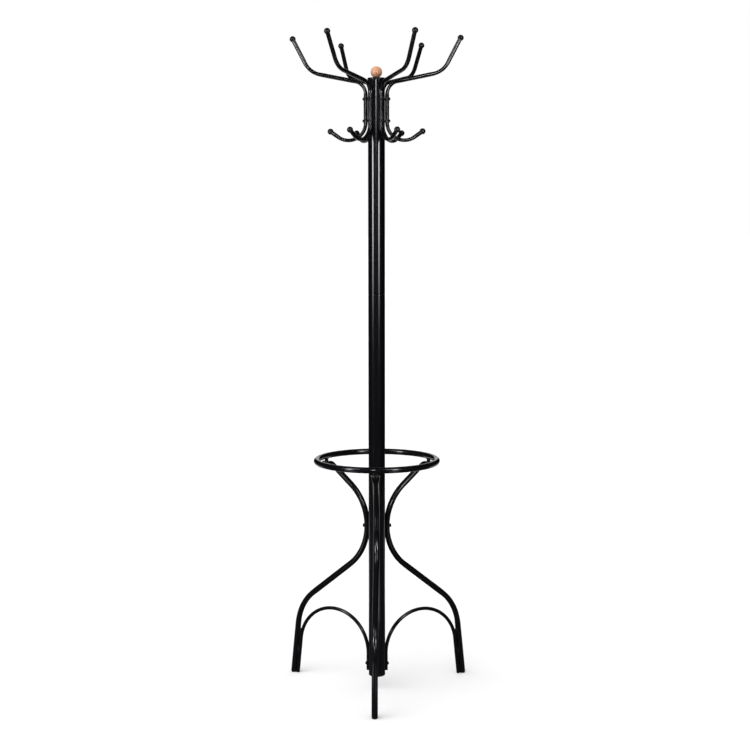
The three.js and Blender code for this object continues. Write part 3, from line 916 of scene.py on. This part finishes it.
boss_top = RING_HEIGHT - BOSS_INSIDE
boss = turned(eased([(0, boss_bottom, 0), (BOSS_RADIUS, boss_bottom, 0.5),
                     (BOSS_RADIUS, boss_top, 0), (0, boss_top, 0)]), 40)
weld_circle = [(BOSS_WELD_CIRCLE * math.cos(a), BOSS_WELD_CIRCLE * math.sin(a))
               for a in (math.tau * k / 90 for k in range(90))]
saddle = [under_ring(RING_RADIUS + out, y, BOSS_WELD_COVER) for out, y in weld_circle]
boss_weld = bead(saddle, BOSS_WELD_RADIUS, closed=True)
boss_out = moved(boss, Matrix.Translation((RING_RADIUS, 0, 0)))
parts = [rolled_ring()]
for azimuth in LEG_AZIMUTHS.values():
    turn = Matrix.Rotation(math.radians(azimuth), 4, "Z")
    parts += [moved(boss_out, turn), moved(boss_weld, turn)]
ring = piece("umbrella_hoop", together(*parts), enamel, "umbrella_ring")
print("ring", 2 * RING_RADIUS, "mm across at its middle line,", len(ring.data.polygons), "faces")

# %% [markdown]
# ## The base's screws
# One screw goes through each leg's waist into the pole, one through each brace, and one up through each
# leg's flat end into its boss. A hand driver stops at a different angle each time, so no two recesses line up.

# %% Fit the base's screws
SCREW_LIFT = 0.6  # the head rests on its rim where the leg curves towards it
waist_face = WAIST_REACH + LEG_RADIUS + GAP + SCREW_LIFT
brace_face = BRACE_REACH + BRACE_RADIUS + GAP
under_pad = PAD_MIDDLE - PAD_HALF_THICKNESS - GAP
HEAD_DOWN = Matrix.Rotation(math.pi, 4, "X")
for i, (side, azimuth) in enumerate(LEG_AZIMUTHS.items()):
    side_screw("leg", f"{side}_waist_bolt", f"{side}_leg_screw", waist_face, WAIST_HEIGHT, azimuth,
               12 + 31 * i)
    side_screw("brace", f"{side}_brace_bolt", f"{side}_brace_screw", brace_face, BRACE_SCREW_HEIGHT, azimuth,
               40 + 23 * i)
    up = Matrix.Translation((RING_RADIUS, 0, under_pad)) @ HEAD_DOWN @ Matrix.Rotation(0.4 + 0.7 * i, 4, "Z")
    piece(f"{side}_pad_bolt", moved(SCREWS["ring"], up), screw_black, f"{side}_ring_screw",
          azimuth)
print("base screws:", 3 * len(LEG_AZIMUTHS))

# %% [markdown]
# ## The double hooks
# Six hooks stand round the pole, each one 11 mm tube with five bends: a low crook at one end for bags, a
# straight back that is screwed to the pole, a shoulder, a rising arm and a tip. The tight shoulder is where
# the tube goes oval most. All six are alike, so one skin is drawn and turned to each place.

# %% Build the hooks
HOOK_RADIUS = 5.5
HOOK_REACH = POLE_RADIUS + GAP + HOOK_RADIUS
HEAD_TURN = -2.7  # the upper length of the pole sits turned a little in its joint
HOOK_NAMES = ("right", "rear_right", "rear_left", "left", "front_left", "front_right")
HOOK_AZIMUTHS = {name: HEAD_TURN + 60 * i for i, name in enumerate(HOOK_NAMES)}
SCREW_HEIGHTS = {"upper": 1561, "lower": 1505}
ARM_TIP = (217, 1715)
CROOK_TIP = (119.5, 1478)
TIP_SLOPE = 62.5
CROOK_RISE = 35
ARM_RISE = 11.2
SHOULDER_HEIGHT = 1573  # where the straight back ends
SHOULDER_BEND = 34
ARM_BEND = 55
CROOK_BEND = 45
back_middle = (HOOK_REACH, sum(SCREW_HEIGHTS.values()) / 2)
arm = [Run(SHOULDER_HEIGHT - back_middle[1]), Bend(ARM_RISE - 90, SHOULDER_BEND), Run(),
       Bend(TIP_SLOPE - ARM_RISE, ARM_BEND), Run()]
arm = fitted(back_middle, 90, arm, ARM_TIP)
crook = fitted(back_middle, -90, [Run(), Bend(90 + CROOK_RISE, CROOK_BEND), Run()], CROOK_TIP)
from_tip = [Run(move.length) if isinstance(move, Run) else Bend(-math.degrees(move.turn), move.radius)
            for move in crook[::-1]]
hook_line = walk(CROOK_TIP, CROOK_RISE + 180, from_tip + arm, HOOK_RADIUS)
hook_skin = swept(hook_line, HOOK_RADIUS, 36, (False, False))
for name, azimuth in HOOK_AZIMUTHS.items():
    made = piece(f"{name}_hook_tube", hook_skin, enamel, f"{name}_hook", azimuth)
print("hook tube is", round(hook_line[-1][2]), "mm long,", len(made.data.polygons), "faces")

# %% [markdown]
# ## Hook balls and hook screws
# A moulded ball is pushed over each sawn end, so that a coat's loop isn't cut. It is a sphere with a socket,
# a small lip round the socket's mouth, and a fine flash line where the two halves of the mould met.

# %% Build the hook balls and fit the hook screws
TIP_BALL = 7.9
SOCKET = HOOK_RADIUS + 0.2
FLASH = 0.07
FLASH_WIDTH = 0.25
FLASH_ROWS = (-0.4, -0.2, 0, 0.2, 0.4)
SOCKET_END = 0.5
MOUTH_ANGLE = -math.degrees(math.acos((SOCKET + 0.6) / TIP_BALL))


def tip_ball():
    """A ball with its socket facing down, drawn round its own middle."""
    sphere = arc(TIP_BALL, 0, MOUTH_ANGLE, 90, 44)
    mouth = sphere[0][1]
    rows = [(r, h) for r, h in sphere if abs(h) > 0.5] + [(TIP_BALL, h) for h in FLASH_ROWS]
    rows.sort(key=lambda row: row[1])
    outside = [(r + FLASH * math.exp(-(h / FLASH_WIDTH) ** 2), h) for r, h in rows]
    inside = [(0, SOCKET_END), (SOCKET, SOCKET_END), (SOCKET, mouth + 0.3), (SOCKET + 0.2, mouth - 0.05)]
    return turned(inside + outside, 48)


ball_skin = tip_ball()
TIPS = {"upper": (ARM_TIP, TIP_SLOPE), "lower": (CROOK_TIP, CROOK_RISE)}
twist = 7  # degrees; each driver stops somewhere else
for name, azimuth in HOOK_AZIMUTHS.items():
    for level, (tip, slope) in TIPS.items():
        put = Matrix.Translation((tip[0], 0, tip[1])) @ Matrix.Rotation(math.radians(90 - slope), 4, "Y")
        piece(f"{name}_{level}_tip_ball", moved(ball_skin, put), plastic, f"{name}_hook_{level}_ball",
              azimuth)
        twist = (twist + 37) % 90
        side_screw("hook", f"{name}_hook_{level}_bolt", f"{name}_hook_{level}_screw",
                   HOOK_REACH + HOOK_RADIUS + GAP, SCREW_HEIGHTS[level], azimuth, twist)
print("balls and hook screws:", 2 * len(HOOK_AZIMUTHS), "of each")

# %% [markdown]
# ## The hidden pieces
# The sleeves and the stud are as true in the CAD model as they need to be, so their CAD nodes stay and only
# take a finish. Nothing else of the CAD model shows.

# %% Finish the hidden nodes
for name in ("sleeve_lower", "sleeve_upper", "finial_stud"):
    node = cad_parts[name]
    node.data.materials.clear()
    node.data.materials.append(zinc)
shown = list(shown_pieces())
print("pieces shown:", len(shown), "faces:", sum(len(o.data.polygons) for o in shown))

# %% [markdown]
# ## The studio
# Glossy black shows nothing but reflections, so the light is what draws it. Two tall strip lights stand in
# front, to the left and the right, and fade towards the floor: they make the two bright lines down the pole.
# Over each strip hangs a wider, softer box for the hooks' arms. A small lamp above the camera touches the top,
# and a lit backdrop behind catches every grazing edge. The room round them is white to the eye and to the
# floor, but dark in reflections, as black cloth round a set makes it. Distances are in metres.

# %% Light the studio
def set_piece(name, corners, material):
    """A flat panel of the studio."""
    mesh = bpy.data.meshes.new(name)
    mesh.from_pydata(corners, [], [tuple(range(len(corners)))])
    mesh.materials.append(material)
    made = in_scene(name, mesh)
    return made


def outward(azimuth):
    """The level direction away from the pole, at degrees to the right of the camera."""
    turn = TURN - math.pi / 2 + math.radians(azimuth)
    return Vector((math.cos(turn), math.sin(turn), 0))


def glow(name, colour, strength, fade, beam=None):
    """A glowing surface whose light falls away below the fade's upper height to nothing at its lower one.

    With a beam, an azimuth and a width, it falls away to the sides as well, as a lamp behind cloth does.
    """
    material, tree = bare_material(name)
    place = add(tree, "TexCoord").outputs["Object"]
    height = add(tree, "SeparateXYZ", {"Vector": place}).outputs["Z"]
    level = add(tree, "MapRange", {"Value": height, "From Min": fade[0], "From Max": fade[1],
                                   "To Max": strength}, interpolation_type="SMOOTHSTEP")
    shine = level.outputs["Result"]
    if beam:
        azimuth, width = beam
        out = outward(azimuth)
        from_pole = add(tree, "VectorMath", {0: place, 1: list(AXIS * MM)},
                        operation="SUBTRACT").outputs["Vector"]
        aside = add(tree, "VectorMath", {0: from_pole, 1: (-out.y * 2 / width, out.x * 2 / width, 0)},
                    operation="DOT_PRODUCT").outputs["Value"]
        squared = add(tree, "Math", {0: aside, 1: aside}, operation="MULTIPLY").outputs[0]
        inside = add(tree, "Math", {0: 1.0, 1: squared}, operation="SUBTRACT").outputs[0]
        shine = add(tree, "Math", {0: shine, 1: inside}, operation="MULTIPLY").outputs[0]
    light = add(tree, "Emission", {"Color": linear(colour), "Strength": shine})
    add(tree, "OutputMaterial", {"Surface": light.outputs["Emission"]})
    return material


def for_reflections(made):
    """Hide a studio piece from everything but reflections."""
    made.visible_camera = False
    made.visible_diffuse = False
    made.visible_shadow = False
    return made


def panel(name, azimuth, near, far, width, material):
    """A glowing strip from one (distance, height) to another, which only reflections see."""
    out = outward(azimuth)
    across = Vector((-out.y, out.x, 0)) * width / 2
    ends = [AXIS * MM + out * distance + Vector((0, 0, height)) for distance, height in (near, far)]
    corners = [ends[0] - across, ends[1] - across, ends[1] + across, ends[0] + across]
    return for_reflections(set_piece(name, corners, material))


EVEN = (-2.0, -1.0)  # a fade that ends below the floor, for a surface that glows evenly
SIDE_DISTANCE = 2.0
STRIPS = {"left": (-51, 0.56), "right": (33, 0.5)}  # azimuth and width
STRIP_HEIGHTS = (0.7, 1.59)
STRIP_FADE = (0.76, 1.46)
SOFTBOX_HEIGHTS = (2.0, 3.0)
LAMP_DISTANCE = 4.6
LAMP_HEIGHTS = (1.7, 2.5)
LAMP_FADE = (1.7, 2.0)
softbox = glow("softbox", "#f6f6ff", 3.2, EVEN)
for name, (azimuth, width) in STRIPS.items():
    strip = glow(f"strip_{name}", "#fbf8ff", 24.0, STRIP_FADE, (azimuth, width))
    panel(f"strip_{name}", azimuth, *((SIDE_DISTANCE, h) for h in STRIP_HEIGHTS), width, strip)
    panel(f"softbox_{name}", azimuth, *((SIDE_DISTANCE, h) for h in SOFTBOX_HEIGHTS), 1.1, softbox)
lamp = glow("lamp", "#f2f4ff", 30.0, LAMP_FADE)
panel("lamp_over_camera", -6, *((LAMP_DISTANCE, h) for h in LAMP_HEIGHTS), 0.4, lamp)
panel("backdrop_light", 180, (3.0, 0.0), (3.0, 3.0), 1.3, glow("backdrop", "#ffffff", 0.6, EVEN))
print("panels set round the pole")

# %% [markdown]
# ## The white room
# Everything that isn't black is lit by the room itself: white all round, dimmer overhead, brighter in front to
# the left, and dark below the floor, so that the wooden ball is shaded underneath. Reflections don't see it.

# %% Light the room
KEY_LIGHT = 2.2
KEY_AZIMUTH = -45
KEY_RISE = math.radians(22)
KEY_EDGE = 0.3  # cosine of the angle from the key at which its light has faded out
DARK_BELOW = (-0.06, -0.05)
DIM_ABOVE = (0.25, 0.9)
OVERHEAD = 0.75
world = bpy.data.worlds.new("white_room")
world.use_nodes = True
room = world.node_tree
way = add(room, "TexCoord").outputs["Generated"]
key = outward(KEY_AZIMUTH) * math.cos(KEY_RISE) + Vector((0, 0, math.sin(KEY_RISE)))
near_key = add(room, "VectorMath", {0: way, 1: list(key)}, operation="DOT_PRODUCT").outputs["Value"]
brighter = add(room, "MapRange", {"Value": near_key, "From Min": KEY_EDGE, "From Max": 1.0, "To Min": 1.0,
                                  "To Max": 1.0 + KEY_LIGHT}, interpolation_type="SMOOTHSTEP")
rise = add(room, "SeparateXYZ", {"Vector": way}).outputs["Z"]
above = add(room, "MapRange", {"Value": rise, "From Min": DARK_BELOW[0], "From Max": DARK_BELOW[1]})
overhead = add(room, "MapRange", {"Value": rise, "From Min": DIM_ABOVE[0], "From Max": DIM_ABOVE[1],
                                  "To Min": 1.0, "To Max": OVERHEAD})
walls = add(room, "Math", {0: above.outputs["Result"], 1: overhead.outputs["Result"]}, operation="MULTIPLY")
level = add(room, "Math", {0: brighter.outputs["Result"], 1: walls.outputs[0]}, operation="MULTIPLY")
room.links.new(level.outputs[0], room.nodes["Background"].inputs["Strength"])
room.nodes["Background"].inputs["Color"].default_value = linear("#ffffff")
world.cycles_visibility.glossy = False
bpy.context.scene.world = world
bpy.context.scene.view_settings.view_transform = "Standard"
print("key light from", [round(v, 2) for v in key])

# %% [markdown]
# ## The floor
# A plain pale floor, large enough to have no edge in any view. It takes the soft shadows that say that the
# rack stands on it, and it is kept out of reflections with the rest of the room.

# %% Lay the floor
floor_finish, floor_tree, floor_shader = finish("pale_matt_floor", {
    "Roughness": 0.9, "Specular IOR Level": 0.0})
floor_place = add(floor_tree, "TexCoord").outputs["Object"]
cloud = add(floor_tree, "TexNoise", {"Vector": floor_place, "Scale": per_mm(400), "Detail": 2.0})
floor_colour = add(floor_tree, "Mix", {FACTOR: cloud.outputs["Fac"], FIRST: linear("#ececec"),
                                       SECOND: linear("#ebebeb")}, data_type="RGBA")
feed(floor_tree, floor_shader, {"Base Color": floor_colour.outputs[MIXED]})
FLOOR_RADIUS = 60
floor_angles = (math.tau * k / 96 for k in range(96))
rim = [(FLOOR_RADIUS * math.cos(a), FLOOR_RADIUS * math.sin(a), 0.0) for a in floor_angles]
floor = set_piece("floor", rim, floor_finish)
floor.visible_glossy = False
floor.visible_diffuse = False
print("floor", 2 * FLOOR_RADIUS, "m across")

# %% [markdown]
# ## The floor that the enamel sees
# The lower faces of the tubes mirror the floor near the rack. That floor is dim, with two brighter pools of
# painted light where the strips would shine on it, and behind the rack it glows white. All of these are
# glowing panels just above the floor, 1 mm apart so that none hides in another, and only reflections see them.

# %% Lay the dim floor for reflections
POOL_NEAR, POOL_FAR, POOL_WIDTH = 0.7, 1.9, 0.36
POOL_STRENGTHS = (2.4, 1.1)
DIM_SHARE = 0.05  # of the floor's radius
dim_height, pool_height, behind_height = 0.002, 0.003, 0.004
dim_rim = [(x * DIM_SHARE, y * DIM_SHARE, dim_height) for x, y, _ in rim]
for_reflections(set_piece("dim_floor", dim_rim, glow("dim_floor", "#f4f2f5", 0.05, EVEN)))
# The two pools are painted light: glowing panels that stand in for the strips' light on the floor.
for (name, (azimuth, _)), strength in zip(STRIPS.items(), POOL_STRENGTHS):
    panel(f"pool_{name}", azimuth, (POOL_NEAR, pool_height), (POOL_FAR, pool_height), POOL_WIDTH,
          glow(f"pool_{name}", "#f4f2f5", strength, EVEN, (azimuth, POOL_WIDTH)))
behind = glow("floor_behind", "#ffffff", 0.5, EVEN)
panel("floor_behind", 180, (POOL_NEAR, behind_height), (4.0, behind_height), 3.6, behind)
print("pools from", POOL_NEAR, "to", POOL_FAR, "m out")
